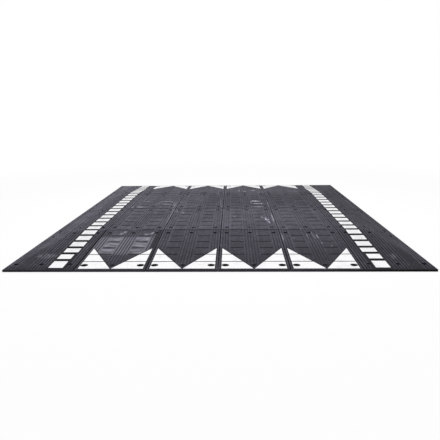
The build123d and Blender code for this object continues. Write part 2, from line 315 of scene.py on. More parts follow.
def tread_places(tree):
    """Sockets for a point's place, its zone, its depth under the tread and its distance from seams."""
    place = add(tree, "TexCoord", {}).outputs["Object"]
    x, y, z = add(tree, "SeparateXYZ", {}, place).outputs
    out_x = add(tree, "Math", UNSIGNED, x)
    out_y = add(tree, "Math", UNSIGNED, y)
    side = add(tree, "Math", TIMES_PLUS, out_x, -SIDE_SLOPE, LIP_HEIGHT + SIDE_SLOPE * HALF_WIDTH)
    ramp = add(tree, "Math", TIMES_PLUS, out_y, -RAMP_SLOPE, LIP_HEIGHT + RAMP_SLOPE * HALF_LENGTH)
    middle = add(tree, "Math", LEAST, ramp, TOP_HEIGHT)
    tread = add(tree, "Math", LEAST, middle, side)
    above_side = add(tree, "Math", MINUS, middle, side)
    end_lip = add(tree, "Math", LESS, HALF_LENGTH - LIP_DEPTH, out_y)
    side_lip = add(tree, "Math", LESS, HALF_WIDTH - LIP_DEPTH, out_x)
    at_kerb = add(tree, "Math", LESS, 2 * COLUMN_PITCH, out_x)
    return {
        "place": place, "x": x, "y": y, "out_x": out_x, "out_y": out_y,
        "at_kerb": at_kerb,
        "inner": add(tree, "Math", MINUS, 1.0, at_kerb),
        "in_front": add(tree, "Math", LESS, y, -ROW_PITCH),
        "on_ramp": add(tree, "Math", LESS, ROW_PITCH, out_y),
        "on_side": add(tree, "MapRange", SOFT_STEP, above_side, -HIP_SOFTNESS, HIP_SOFTNESS),
        "at_lip": add(tree, "Math", MOST, end_lip, side_lip),
        "depth": add(tree, "Math", MINUS, tread, z),
        "from_seam": add(tree, "Math", TO_AND_FRO, x, COLUMN_PITCH / 2),
        "from_row_seam": add(tree, "Math", TO_AND_FRO, y, ROW_PITCH / 2),
    }


print("slopes of the ramps and the sides:", round(RAMP_SLOPE, 3), round(SIDE_SLOPE, 3))

# %% [markdown]
# ## Scuffs
# Tyres and boots have left pale scuffs and scratches. A noise could scatter some, but these are few and
# each has its own place, so each is one soft oval: a Mapping node slides, turns and shrinks the place
# until the oval is a ball of radius one, and the distance from its middle gives a soft edge. Plain ovals
# would look like eggs from above, so for the broad ones a noise first shifts each point a little, which
# frays their outlines, and a second one, drawn out along the road, scrapes all of them into stripes.

# %% List of scuffs
# Middle across and along the road, length and width in millimetres, turn in degrees, and strength.
SCUFFS = (
    (-834, -1090, 120, 30, 65, 0.60),
    (-870, -1137, 150, 36, 0, 0.24),
    (-622, -1144, 75, 26, 15, 0.50),
    (-583, -1104, 95, 24, 69, 0.60),
    (725, -1200, 210, 10, 91, 0.60),
    (773, -1172, 270, 10, 93, 0.60),
    (803, -1224, 160, 10, 92, 0.60),
    (811, -1396, 20, 40, 0, 0.25),
    (876, -1462, 20, 40, 0, 0.20),
    (516, -1220, 18, 260, 0, 0.40),
    (597, -1253, 40, 60, 0, 0.15),
    (694, -981, 12, 50, 0, 0.30),
    (424, -583, 36, 110, 0, 0.95),
    (398, -490, 110, 30, 130, 0.70),
    (437, -690, 170, 20, 97, 0.85),
    (485, -526, 560, 16, 90, 0.75),
    (492, 190, 820, 10, 91, 0.40),
    (120, -437, 40, 40, 0, 0.30),
    (374, 68, 170, 50, 2, 0.36),
    (384, 260, 170, 80, -8, 0.56),
    (366, 418, 140, 110, 0, 0.55),
    (308, 350, 16, 180, 0, 0.35),
    (-20, -52, 16, 90, 0, 0.35),
    (-27, 260, 800, 10, 92, 0.25),
    (-60, 905, 90, 70, 0, 0.40),
    (-972, 95, 240, 10, 92, 0.45),
    (-890, 80, 110, 60, 0, 0.40),
    (-965, 80, 50, 60, 0, 0.35),
    (-916, 105, 130, 12, -10, 0.45),
    (-924, 141, 130, 14, -30, 0.40),
    (-737, 289, 60, 60, 0, 0.30),
    (-874, 427, 100, 60, 0, 0.22),
    (-637, 421, 190, 60, 0, 0.25),
    (-548, 230, 14, 260, 0, 0.35),
    (-516, -337, 1060, 9, 90, 0.55),
    (-528, 190, 640, 10, 88, 0.50),
    (-467, -189, 20, 80, 0, 0.25),
    (-476, -124, 20, 80, 0, 0.30),
    (-395, -245, 50, 60, 0, 0.30),
    (-620, 228, 170, 50, 0, 0.40),
    (186, 1272, 20, 200, 0, 0.55),
    (258, 1184, 60, 180, 0, 0.40),
    (363, 1300, 80, 180, 0, 0.40),
    (455, 1103, 60, 150, 0, 0.35),
    (-1284, -1702, 190, 150, 0, 0.16),
    (1276, -1716, 80, 160, 0, 0.12),
)
print(len(SCUFFS), "scuffs on the tread")

# %% Scuffs as a pattern
OVAL_EDGE = 0.35
# Metres, so that a point's height plays no part.
TALL = 1000
# Millimetres, as in the list above: scuffs wider than this are frayed.
BROAD = 25
FRAY = 45 * MM
FRAY_REACH = 90 * MM
SCRAPE_WIDTH = 12 * MM
SCRAPE_LENGTH = 110 * MM
SCRAPE_NOISE = (0.4, 0.6)
SCRAPE_SHARE = (0.6, 1.4)


def scuffs(tree, place):
    """How much of the rubber is hidden by a pale scuff, from 0 to about 1."""
    shift = add(tree, "TexNoise", {}, place, Scale=1 / FRAY, Detail=3.0).outputs["Color"]
    frayed = add(tree, "VectorMath", TIMES_PLUS, shift, (FRAY_REACH, FRAY_REACH, 0), place)
    frayed = add(tree, "VectorMath", MINUS, frayed, (FRAY_REACH / 2, FRAY_REACH / 2, 0))
    cover = 0.0
    for across, along, length, width, angle, strength in SCUFFS:
        spot = frayed if min(length, width) > BROAD else place
        oval = add(
            tree, "Mapping", PATTERN, spot, (across * MM, along * MM, 0),
            (0, 0, math.radians(angle)), (length / 2 * MM, width / 2 * MM, TALL))
        reach = add(tree, "VectorMath", LENGTH, oval)
        mark = add(tree, "MapRange", SOFT_STEP, reach, 1.0, OVAL_EDGE, 0.0, strength)
        cover = add(tree, "Math", MOST, mark, cover)
    drawn_out = add(tree, "Mapping", PATTERN, place, Scale=(SCRAPE_WIDTH, SCRAPE_LENGTH, 1))
    scrape = add(tree, "TexNoise", {}, drawn_out, Scale=1.0, Detail=2.0)
    stripes = add(tree, "MapRange", {}, scrape, *SCRAPE_NOISE, *SCRAPE_SHARE)
    return add(tree, "Math", TIMES, cover, stripes)


print(sum(min(scuff[2:4]) > BROAD for scuff in SCUFFS), "of the scuffs are frayed")

# %% [markdown]
# ## The rubber
# The modules are pressed from recycled tyre granules with a binder. Fresh from the press the rubber is
# almost black and dull, and each granule shows as a slight bump and a slightly different grey. On the road
# a film of pale dust settles on the tread, while grooves keep the fresh black, and seams and holes are
# painted black as their shade.
# One grey for all of it would look like card. So the next cells work out the film, one step after the
# other, and the film then mixes two colours and two degrees of gloss.
#
# The first step gives each zone of the table its own share of the film, and the slopes get less of it than
# the level top. The shares hold dust and painted light: the front ramp is painted darker towards its lip,
# the left of the table paler than the right, and the left slope paler than the right one. A single
# gradient couldn't say that.

# %% Film that the rain leaves
FILM = 0.37
# Painted light: the film is this much thicker at the left edge of the table and thinner at the right,
# which makes the left paler and the right darker.
PAINTED_LEFT_LIGHT = 0.13
# Shares of the film at the upper and the lower end of the front ramp. The lower share is partly painted
# shade, which darkens the ramp towards its lip.
CREST_SHARE = 0.76
LIP_SHARE = 0.42
# Shares on the kerb modules, at the front and at the rear where there are two. The left ones are higher
# than the right ones as painted light, which makes the left kerb paler.
LEFT_STRIP = (0.52, 1.17)
RIGHT_STRIP = 0.52
LEFT_SLOPE = (0.75, 1.08)
RIGHT_SLOPE = (0.48, 0.28)
LEFT_CORNER = 0.48
RIGHT_CORNER = 0.24
# A part of the top that is washed cleaner: from, to, and how soft its edges are.
RAINED_ACROSS = (-0.5 * COLUMN_PITCH, 2 * COLUMN_PITCH, 0.25 * COLUMN_PITCH)
RAINED_ALONG = (0.1 * ROW_PITCH, 0.9 * ROW_PITCH, 0.1 * ROW_PITCH)
RAINED_SHARE = 0.72


def between(tree, value, low, high, edge):
    """1 where the value lies between low and high, with edges that soft."""
    rise = add(tree, "MapRange", SOFT_STEP, value, low - edge, low + edge)
    fall = add(tree, "MapRange", SOFT_STEP, value, high + edge, high - edge)
    return add(tree, "Math", TIMES, rise, fall)


def kerb_share(tree, at, ramp):
    """The share of the film on the kerb modules: their strips, their front corners and their slopes, with
    the left painted paler than the right as painted light.
    """
    left = add(tree, "Math", LESS, at["x"], 0.0)
    strip = add(tree, "MapRange", {}, at["y"], -HALF_LENGTH, HALF_LENGTH, *LEFT_STRIP)
    strip = add(tree, "Mix", {}, left, RIGHT_STRIP, strip)
    corner = add(tree, "Math", TIMES, ramp, add(tree, "Mix", {}, left, RIGHT_CORNER, LEFT_CORNER))
    level = add(tree, "Mix", {}, at["in_front"], strip, corner)
    left_slope = add(tree, "MapRange", {}, at["y"], -HALF_LENGTH, HALF_LENGTH, *LEFT_SLOPE)
    right_slope = add(tree, "MapRange", {}, at["y"], -HALF_LENGTH, HALF_LENGTH, *RIGHT_SLOPE)
    # Painted light: the left slope comes out paler than the right one.
    slope = add(tree, "Mix", {}, left, right_slope, left_slope)
    return add(tree, "Mix", {}, at["on_side"], level, slope)


def washed_film(tree, at):
    """The film by zone: full on the level top and thinner on the slopes, with painted light in its shares.
    """
    # Painted shade, together with the dust: the front ramp darkens towards its lip.
    ramp = add(tree, "MapRange", SOFT_STEP, at["out_y"], ROW_PITCH, HALF_LENGTH, CREST_SHARE, LIP_SHARE)
    middle = add(tree, "Mix", {}, at["in_front"], 1.0, ramp)
    rained = add(
        tree, "Math", TIMES, between(tree, at["x"], *RAINED_ACROSS), between(tree, at["y"], *RAINED_ALONG))
    middle = add(tree, "Math", TIMES, middle, add(tree, "Mix", {}, rained, 1.0, RAINED_SHARE))
    share = add(tree, "Mix", {}, at["at_kerb"], middle, kerb_share(tree, at, ramp))
    most = FILM * (1 + PAINTED_LEFT_LIGHT)
    least = FILM * (1 - PAINTED_LEFT_LIGHT)
    # Painted light: the table comes out paler on the left and darker on the right.
    painted_light_lean = add(tree, "MapRange", {}, at["x"], -HALF_WIDTH, HALF_WIDTH, most, least)
    return add(tree, "Math", TIMES, share, painted_light_lean)


print("dust covers", FILM, "of the level top")

# %% [markdown]
# ### Ribs, pads and rims
# Dust holds between the ribs of the kerb modules, and tyres wipe it off the pads of the others. Beside the
# grooves across the pads the film is thinner still, which paints shade along the grooves. The rims along
# the seams are rubbed pale, and that paleness also paints the highlight on the seam edges.
# Each face could have a material of its own, but ribs, pads and grooves repeat at even pitches, so the
# distance from the nearest one finds them all.

# %% Film on ribs, pads and rims
CRISP = 2 * MM
PAD_FROM = 86 * MM
PAD_TO = 189 * MM
PAD_FILM = -0.05
PLAIN_FROM = 2 * COLUMN_PITCH + 333 * MM
PLAIN_TO = 2 * COLUMN_PITCH + 414 * MM
KERB_RIB_FILM = 0.13
# The last stretch of the corner modules before the front lip, which stays darker.
FOOT = 90 * MM
FOOT_SHARE = 0.3
RIM_FROM = 6 * MM
RIM_TO = 14 * MM
# Wear and a painted highlight: the seam rims are made this much paler.
RIM_WEAR_AND_HIGHLIGHT = 0.10
GROOVE_PITCH = 164 * MM
RAMP_GROOVE_PITCH = 160 * MM
LAST_RAMP_GROOVE = 1188 * MM
CROSS_GROOVE_EDGE = 6 * MM
GROOVE_RIM = 16 * MM
# Painted shade: the share of the film left beside the cross grooves, on the top and on the ramps.
GROOVE_SHADE_SHARE = 0.1
RAMP_GROOVE_SHADE_SHARE = 0.75


def pad_places(tree, at):
    """1 on the two columns of pads of a module, and how far the nearest groove across them is."""
    pads = add(tree, "Math", TIMES, between(tree, at["from_seam"], PAD_FROM, PAD_TO, CRISP), at["inner"])
    from_middle = add(tree, "Math", MINUS, ROW_PITCH / 2, at["from_row_seam"])
    top = add(tree, "Math", TO_AND_FRO, from_middle, GROOVE_PITCH / 2)
    from_last = add(tree, "Math", MINUS, at["out_y"], LAST_RAMP_GROOVE)
    ramp = add(tree, "Math", TO_AND_FRO, from_last, RAMP_GROOVE_PITCH / 2)
    return pads, add(tree, "Mix", {}, at["on_ramp"], top, ramp)


def rubbed_film(tree, at, film):
    """The film with more of it on the kerb ribs, and along the seams for wear and a painted highlight, and
    less beside the cross grooves for painted shade.
    """
    plain = between(tree, at["out_x"], PLAIN_FROM, PLAIN_TO, CRISP)
    ribbed = add(tree, "Math", MINUS, at["at_kerb"], plain)
    film = add(tree, "Math", TIMES_PLUS, ribbed, KERB_RIB_FILM, film)
    foot = add(tree, "MapRange", {}, at["y"], FOOT - HALF_LENGTH, -HALF_LENGTH, 1.0, FOOT_SHARE)
    film = add(tree, "Math", TIMES, film, add(tree, "Mix", {}, at["at_kerb"], 1.0, foot))
    film = add(tree, "Math", TIMES_PLUS, at["pads"], PAD_FILM, film)
    # Painted shade beside the cross grooves.
    wiped = add(tree, "Mix", {}, at["on_ramp"], GROOVE_SHADE_SHARE, RAMP_GROOVE_SHADE_SHARE)
    beside = add(tree, "MapRange", SOFT_STEP, at["from_groove"], CROSS_GROOVE_EDGE, GROOVE_RIM, wiped, 1.0)
    film = add(tree, "Math", TIMES, film, add(tree, "Mix", {}, at["pads"], 1.0, beside))
    # Wear and a painted highlight along the seam rims.
    rim = between(tree, at["from_seam"], RIM_FROM, RIM_TO, CRISP)
    return add(tree, "Math", TIMES_PLUS, rim, RIM_WEAR_AND_HIGHLIGHT, film)


print("pads", round((PAD_TO - PAD_FROM) / MM), "mm wide, grooves every", round(GROOVE_PITCH / MM), "mm")

# %% [markdown]
# ### Polish and its painted sheen
# One front ramp is used more than the others, and tyres have polished it. Its sheen is painted as a paler
# colour: in smears on its pads, and evenly on its ribs. Scuffs could be listed for this too, but smears
# have no outline. A noise drawn out across the road gives them, and it shows only on the lands of that one
# ramp.

# %% Painted sheen on one ramp
# From, to, and how soft the edges are.
SHEEN_ACROSS = (-990 * MM, -552 * MM, 8 * MM)
SHEEN_ALONG = (-1.67 * ROW_PITCH, -1.22 * ROW_PITCH, 40 * MM)
SHEEN_ON_PADS = 0.44
SHEEN_ON_PAD_EDGES = 0.20
SHEEN_ON_RIBS = 0.20
PAD_MIDDLE = 50 * MM
SMEAR_WIDTH = 90 * MM
SMEAR_LENGTH = 45 * MM
SMEAR_NOISE = (0.35, 0.65)
SMEAR_SHARE = (0.25, 1.0)
LAND_DEPTH = 2 * MM


def painted_sheen(tree, at):
    """How much painted sheen the most used ramp gets: in smears on its pads, and less on its ribs."""
    worn = add(
        tree, "Math", TIMES,
        between(tree, at["x"], *SHEEN_ACROSS), between(tree, at["y"], *SHEEN_ALONG))
    drawn_out = add(tree, "Mapping", PATTERN, at["place"], Scale=(SMEAR_WIDTH, SMEAR_LENGTH, 1))
    smear = add(tree, "TexNoise", {}, drawn_out, Scale=1.0, Detail=3.0)
    smear = add(tree, "MapRange", SOFT_STEP, smear, *SMEAR_NOISE, *SMEAR_SHARE)
    pad = add(
        tree, "MapRange", SOFT_STEP, at["from_groove"], GROOVE_RIM, PAD_MIDDLE,
        SHEEN_ON_PAD_EDGES, SHEEN_ON_PADS)
    share = add(tree, "Mix", {}, at["pads"], SHEEN_ON_RIBS, add(tree, "Math", TIMES, pad, smear))
    lands = add(tree, "Math", LESS, at["depth"], LAND_DEPTH)
    return add(tree, "Math", TIMES, add(tree, "Math", TIMES, worn, lands), share)


print("polish on", round(SHEEN_ALONG[1] - SHEEN_ALONG[0], 2), "m of one ramp")

# %% [markdown]
# ### Fresh rubber and painted seam shade
# Nothing rubs the narrow rims beside and between the white inlays, so they keep the black of the mould.
# Along the seams, which stand a little open, the film is taken off, which paints shade there, and along
# the first front seam a black strip is painted as the shadow of a seam standing open. A mask could be
# painted for them, but the inlays have straight outlines, and the distance from a straight line is a short
# sum.

# %% Rims beside the inlays
# The triangles' sides from the seam, their tips from the module's middle, and their ends along the road.
TRIANGLE_SIDE = 22 * MM
TRIANGLE_TIP = 3 * MM
TRIANGLE_BASE = 2 * ROW_PITCH - 25 * MM
TRIANGLE_APEX = TRIANGLE_BASE - 454 * MM
BLOCKS_FROM = 2 * COLUMN_PITCH + 77 * MM
BLOCKS_TO = 2 * COLUMN_PITCH + 191 * MM
INLAY_RIM = 12 * MM
INLAY_EDGE = 2 * MM


def beside_triangles(tree, at):
    """1 around the white triangles, up to a rim's width outside of their three sides, and 0 elsewhere."""
    run = COLUMN_PITCH / 2 - TRIANGLE_TIP - TRIANGLE_SIDE
    rise = TRIANGLE_BASE - TRIANGLE_APEX
    slant = math.hypot(run, rise)
    beside = add(tree, "Math", MINUS, TRIANGLE_SIDE, at["from_seam"])
    below = add(tree, "Math", MINUS, at["out_y"], TRIANGLE_BASE)
    offset = (TRIANGLE_APEX * run - TRIANGLE_SIDE * rise) / slant
    beyond = add(tree, "Math", TIMES_PLUS, at["from_seam"], rise / slant, offset)
    beyond = add(tree, "Math", TIMES_PLUS, at["out_y"], -run / slant, beyond)
    outside = add(tree, "Math", MOST, add(tree, "Math", MOST, beside, below), beyond)
    near = add(tree, "MapRange", SOFT_STEP, outside, INLAY_RIM, INLAY_EDGE)
    return add(tree, "Math", TIMES, near, at["inner"])


print("fresh rims", round(INLAY_RIM / MM), "mm wide beside the inlays")

# %% Seams painted with shade
# Painted shade along the seams: how wide the film is taken off, and how wide the painted shadow of the
# first front seam is.
SEAM_RIM = 14 * MM
SEAM_EDGE = 5 * MM
SEAM_SHADOW_LEFT = 11 * MM
SEAM_SHADOW_RIGHT = 5 * MM
DULL_RIM = 42 * MM
DULL_EDGE = 8 * MM
DULL_SHARE = 0.7


def open_seam(tree, at):
    """1 along the first seam of the front ramp, where a black strip is painted as its shadow, and 0
    elsewhere.
    """
    seam = -2 * COLUMN_PITCH
    # Painted shadow: a black strip along the first front seam.
    dark = between(tree, at["x"], seam - SEAM_SHADOW_LEFT, seam + SEAM_SHADOW_RIGHT, CRISP)
    return add(tree, "Math", TIMES, dark, at["in_front"])


def seam_shade(tree, at):
    """1 along the seams across the road, apart from the first one's ends, and along two front seams:
    painted shade, where the film is taken off.
    """
    # Painted shade: no film close to the seams across the road.
    row_seam = add(tree, "MapRange", SOFT_STEP, at["from_row_seam"], SEAM_RIM, SEAM_EDGE)
    inmost = add(tree, "Math", LESS, at["out_x"], COLUMN_PITCH)
    behind_first = add(tree, "Math", LESS, -ROW_PITCH / 2, at["y"])
    row_seam = add(tree, "Math", TIMES, row_seam, add(tree, "Math", MOST, inmost, behind_first))
    second = between(tree, at["x"], -COLUMN_PITCH - DULL_RIM, -COLUMN_PITCH, DULL_EDGE)
    second = add(tree, "Math", TIMES, second, at["in_front"])
    front_seams = add(tree, "Math", TIMES_PLUS, second, DULL_SHARE, at["open_seam"])
    return add(tree, "Math", MOST, row_seam, front_seams)


def fresh_rubber_and_seam_shade(tree, at):
    """1 where the rubber is as the mould left it, and along the seams, where it is painted with shade, and
    0 where it is worn.
    """
    half_rim = INLAY_RIM / 2
    blocks = between(tree, at["out_x"], BLOCKS_FROM - half_rim, BLOCKS_TO + half_rim, half_rim)
    inlays = add(tree, "Math", MOST, beside_triangles(tree, at), blocks)
    return add(tree, "Math", MOST, inlays, seam_shade(tree, at))


# Width of the painted shadow along the first front seam.
print("the first seam stands open on", round((SEAM_SHADOW_LEFT + SEAM_SHADOW_RIGHT) / MM), "mm")

# %% [markdown]
# ### Where dust settles
# Dust needs a level face that lies open: walls get none, and the floors of grooves and holes get less.
# These faces could be picked one by one for a second material, but the depth under the tread and the
# direction that a face looks tell them apart. Nor does dust lie evenly. Four noises make the film thinner
# and thicker, from single granules to blotches as wide as a hand and streaks along the traffic.

# %% Faces that are open to dust
# The upward part of a face's direction: up to the first value it is a wall, from the second it is level.
WALL_TO_LEVEL = (0.6, 0.9)
OPEN_DEPTH = 2 * MM
GROOVE_FLOOR = 4 * MM
DEEP_FLOOR = 5 * MM
TOP_GROOVE_SHARE = 0.9
RAMP_GROOVE_SHARE = 0.75
KERB_GROOVE_SHARE = 0.35
DEEP_SHARE = 0.2


def exposure(tree, at):
    """How open a point is to dust, and how level it lies, each from 0 to 1."""
    upward = add(tree, "SeparateXYZ", {}, add(tree, "NewGeometry", {}).outputs["Normal"]).outputs["Z"]
    level = add(tree, "MapRange", SOFT_STEP, upward, *WALL_TO_LEVEL)
    groove = add(tree, "Mix", {}, at["on_ramp"], TOP_GROOVE_SHARE, RAMP_GROOVE_SHARE)
    groove = add(tree, "Mix", {}, at["at_kerb"], groove, KERB_GROOVE_SHARE)
    deep = add(tree, "MapRange", SOFT_STEP, at["depth"], DEEP_FLOOR, GROOVE_FLOOR, DEEP_SHARE, groove)
    shelter = add(tree, "MapRange", SOFT_STEP, at["depth"], GROOVE_FLOOR, OPEN_DEPTH, deep, 1.0)
    worn = add(tree, "Math", MINUS, 1.0, fresh_rubber_and_seam_shade(tree, at))
    return add(tree, "Math", TIMES, add(tree, "Math", TIMES, level, shelter), worn), level


print("below", round(DEEP_FLOOR / MM), "mm under the tread", DEEP_SHARE, "of the dust is left")

# %% Patches in the film
# Real granules are 2 to 5 mm across. They are drawn coarser, because that fine they wouldn't show.
GRANULE = 14 * MM
MOTTLE = 45 * MM
BLOTCH = 220 * MM
STREAK_WIDTH = 30 * MM
STREAK_LENGTH = 700 * MM
GRANULE_SPREAD = 0.35
MOTTLE_SPREAD = 0.20
BLOTCH_SPREAD = 0.25
STREAK_SPREAD = 0.15
# Nearly all values of a noise lie in this range.
NOISE_RANGE = (0.3, 0.7)


def patchy_film(tree, at, grain):
    """The film as rain and rubbing leave it, made uneven by the granules and three wider noises."""
    film = rubbed_film(tree, at, washed_film(tree, at))
    mottle = add(tree, "TexNoise", {}, at["place"], Scale=1 / MOTTLE, Detail=2.0)
    blotch = add(tree, "TexNoise", {}, at["place"], Scale=1 / BLOTCH, Detail=4.0, Roughness=0.6)
    drawn_out = add(tree, "Mapping", PATTERN, at["place"], Scale=(STREAK_WIDTH, STREAK_LENGTH, 1))
    streak = add(tree, "TexNoise", {}, drawn_out, Scale=1.0, Detail=2.0)
    noises = (
        (grain, GRANULE_SPREAD), (mottle, MOTTLE_SPREAD), (blotch, BLOTCH_SPREAD), (streak, STREAK_SPREAD))
    for noise, spread in noises:
        share = add(tree, "MapRange", {}, noise, *NOISE_RANGE, 1 - spread, 1 + spread)
        film = add(tree, "Math", TIMES, film, share)
    return film


print("granules drawn", round(GRANULE / MM), "mm wide and blotches", round(BLOTCH / MM), "mm")

# %% [markdown]
# ### Walls, lips and holes
# Steep faces hold no dust. Groove walls keep the colour of the mould, and on the kerb modules they are
# painted darker as shade. The outer lip is rubbed grey in its middle and painted darker towards its ends
# as shade, and holes and seams are painted black as their shade. Shadow alone wouldn't do for these: in
# the white studio much light gets into a shallow hole. The lowest holes at the front are the exception,
# because dirt washed down the ramp fills them.

# %% Upright faces
GROOVE_WALL = linear("#1e1d24")
# Painted shade: the kerb modules' walls are painted darker than the mould's colour.
KERB_WALL_SHADE = linear("#0f0e12")
# Painted shade: deep in holes and seams the rubber is painted this black.
PAINTED_SHADE_BLACK = linear("#070708")
HOLE_DIRT = linear("#4c4b54")
LIP_RUBBED = linear("#302f37")
# Painted shade at the ends of the lip.
LIP_SHADE = linear("#060607")
HOLE_FROM = 5 * MM
HOLE_TO = 8 * MM
FRONT_HOLES = 200 * MM
MIDDLE_HOLE = 220 * MM
# Painted shade on the front lip: where it starts, where it is darkest, and how dark it is on the left.
DARK_LIP_RIGHT = (0.8 * COLUMN_PITCH, 2.6 * COLUMN_PITCH)
DARK_LIP_LEFT = (-1.8 * COLUMN_PITCH, -3 * COLUMN_PITCH)
DARK_LEFT_SHARE = 0.5


def clogged(tree, at):
    """1 in the front row's middle and inmost corner holes, which dirt fills, and 0 elsewhere."""
    middle = add(tree, "Math", TIMES, add(tree, "Math", LESS, MIDDLE_HOLE, at["from_seam"]), at["inner"])
    inmost = add(tree, "Math", TIMES, add(tree, "Math", LESS, at["out_x"], BLOCKS_FROM), at["at_kerb"])
    front = add(tree, "Math", LESS, at["y"], FRONT_HOLES - HALF_LENGTH)
    return add(tree, "Math", TIMES, add(tree, "Math", MOST, middle, inmost), front)


def upright_rubber(tree, at):
    """The colour of faces too steep for dust: groove walls, the outer lip, holes and seams, with painted
    shade on the kerb walls, at the lip's ends and deep in holes and seams.
    """
    walls = add(tree, "Mix", COLOUR, at["at_kerb"], GROOVE_WALL, KERB_WALL_SHADE)
    # Painted shade: from this depth down, holes and seams are painted black.
    holes = add(tree, "MapRange", SOFT_STEP, at["depth"], HOLE_FROM, HOLE_TO)
    inside = add(tree, "Mix", COLOUR, clogged(tree, at), PAINTED_SHADE_BLACK, HOLE_DIRT)
    walls = add(tree, "Mix", COLOUR, holes, walls, inside)
    # Painted shade: the lip darkens towards its ends.
    right_end = add(tree, "MapRange", SOFT_STEP, at["x"], *DARK_LIP_RIGHT)
    left_end = add(tree, "MapRange", SOFT_STEP, at["x"], *DARK_LIP_LEFT, 0.0, DARK_LEFT_SHARE)
    ends = add(tree, "Math", MOST, right_end, left_end)
    lip = add(tree, "Mix", COLOUR, ends, LIP_RUBBED, LIP_SHADE)
    return add(tree, "Mix", COLOUR, at["at_lip"], walls, lip)


# From this depth the holes are painted black as their shade.
print("holes are black from", round(HOLE_TO / MM), "mm under the tread")

# %% [markdown]
# ### The rubber put together
# From below upwards: the fresh rubber, with painted shade in its holes and seams, the film of dust over
# it, and over both the pale scuffs, the painted sheen of the polished ramp and single bright granules.
# They could be separate shaders, but dust and scuffs are thin and as dull as the rubber, so mixing colours
# is enough, and the sheen is painted as a paler colour. Rubber reflects little, and dusted and driven over
# it shines slightly more than fresh.

# %% Recycled granule rubber
FRESH_RUBBER = linear("#1a1920")
ROAD_DUST = linear("#757382")
# The pale of scuffs and grit, and of the painted sheen on the polished ramp.
SCUFF_AND_SHEEN_PALE = linear("#c4c3d1")
GRIT_NOISE = (0.58, 0.78)
GRIT = 0.12
RAGGED_NOISE = (0.35, 0.6)
RAGGED_SHARE = (0.55, 1.2)
FULL_FILM = 0.8
FRESH_ROUGHNESS = 0.85
DUSTY_ROUGHNESS = 0.6
RUBBER_SPECULAR = 0.15
GRANULE_HEIGHT = 0.3 * MM
GRANULE_BUMP = 0.4


def granule_rubber():
    """Recycled tyre granules, pressed: near-black and dull, greyed by road dust, pale where scuffed, with
    a painted sheen on one ramp and painted shade in holes and seams.
    """
    material, tree = new_material("recycled_granule_rubber")
    at = tread_places(tree)
    at["pads"], at["from_groove"] = pad_places(tree, at)
    at["open_seam"] = open_seam(tree, at)
    open_to_dust, level = exposure(tree, at)
    grain = add(tree, "TexNoise", {}, at["place"], Scale=1 / GRANULE, Detail=3.0, Roughness=0.6)
    film = add(tree, "Math", TIMES, patchy_film(tree, at, grain), open_to_dust)
    grit = add(tree, "MapRange", {}, grain, *GRIT_NOISE, 0.0, GRIT)
    ragged = add(tree, "MapRange", {}, grain, *RAGGED_NOISE, *RAGGED_SHARE)
    marks = add(tree, "Math", TIMES, scuffs(tree, at["place"]), ragged)
    # Scuffs and grit are pale marks, and the polished ramp adds its painted sheen.
    pale = add(tree, "Math", PLUS, add(tree, "Math", MOST, marks, painted_sheen(tree, at)), grit)
    pale = add(tree, "Math", TIMES, pale, open_to_dust)
    # Painted shadow: a black strip along the first front seam.
    flat = add(tree, "Mix", COLOUR, at["open_seam"], FRESH_RUBBER, PAINTED_SHADE_BLACK)
    fresh = add(tree, "Mix", COLOUR, level, upright_rubber(tree, at), flat)
    dusty = add(tree, "Mix", COLOUR, film, fresh, ROAD_DUST)
    colour = add(tree, "Mix", COLOUR, pale, dusty, SCUFF_AND_SHEEN_PALE)
    roughness = add(tree, "MapRange", {}, film, 0.0, FULL_FILM, FRESH_ROUGHNESS, DUSTY_ROUGHNESS)
    bump = add(tree, "Bump", {}, Strength=GRANULE_BUMP, Distance=GRANULE_HEIGHT, Height=grain)
    shader = add(
        tree, "BsdfPrincipled", {}, Base_Color=colour, Roughness=roughness,
        Specular_IOR_Level=RUBBER_SPECULAR, Normal=bump)
    add(tree, "OutputMaterial", {}, Surface=shader)
    return material


finishes = {"rubber": granule_rubber()}
print("rubber", len(finishes["rubber"].node_tree.nodes), "shader nodes")

# %% [markdown]
# ## The white inlays
# The triangles and blocks are road-marking thermoplastic, a resin filled with white pigment and glass
# beads. It is matt, a shade off pure white, and grey dirt lodges between the beads in soft patches. The
# middles of the blocks hold more of it, and the rounded edges are darker the steeper they turn. One white
# for all would look like paper. A noise as coarse as the patches lays the dirt, and one as fine as the
# beads breaks it up.

# %% Grime on the blocks
# The first blocks are clean, and the grime on the others sets in between these two places.
CLEAN_TO = -1.65 * ROW_PITCH
DIRTY_FROM = -1.50 * ROW_PITCH
BLOCK_GRIME = 0.25
# From the middle of a block outwards the grime falls from the first share to the second.
WIPED_REACH = (20 * MM, 50 * MM)
WIPED_SHARE = (1.3, 0.5)


def block_grime(tree, place):
    """The extra dirt on the blocks, most of it along their middles."""
    x, y = add(tree, "SeparateXYZ", {}, place).outputs[:2]
    out_x = add(tree, "Math", UNSIGNED, x)
    block = add(tree, "Math", LESS, 2 * COLUMN_PITCH, out_x)
    grime = add(tree, "MapRange", SOFT_STEP, y, CLEAN_TO, DIRTY_FROM, 0.0, BLOCK_GRIME)
    from_middle = add(tree, "Math", MINUS, out_x, (BLOCKS_FROM + BLOCKS_TO) / 2)
    from_middle = add(tree, "Math", UNSIGNED, from_middle)
    wiped = add(tree, "MapRange", SOFT_STEP, from_middle, *WIPED_REACH, *WIPED_SHARE)
    return add(tree, "Math", TIMES, add(tree, "Math", TIMES, block, wiped), grime)


print("blocks", round((BLOCKS_TO - BLOCKS_FROM) / MM), "mm wide")

# %% White thermoplastic
CHALK_WHITE = linear("#fafafc")
GREY_DIRT = linear("#c6c4c9")
STEEP_EDGE_GREY = linear("#5d5b60")
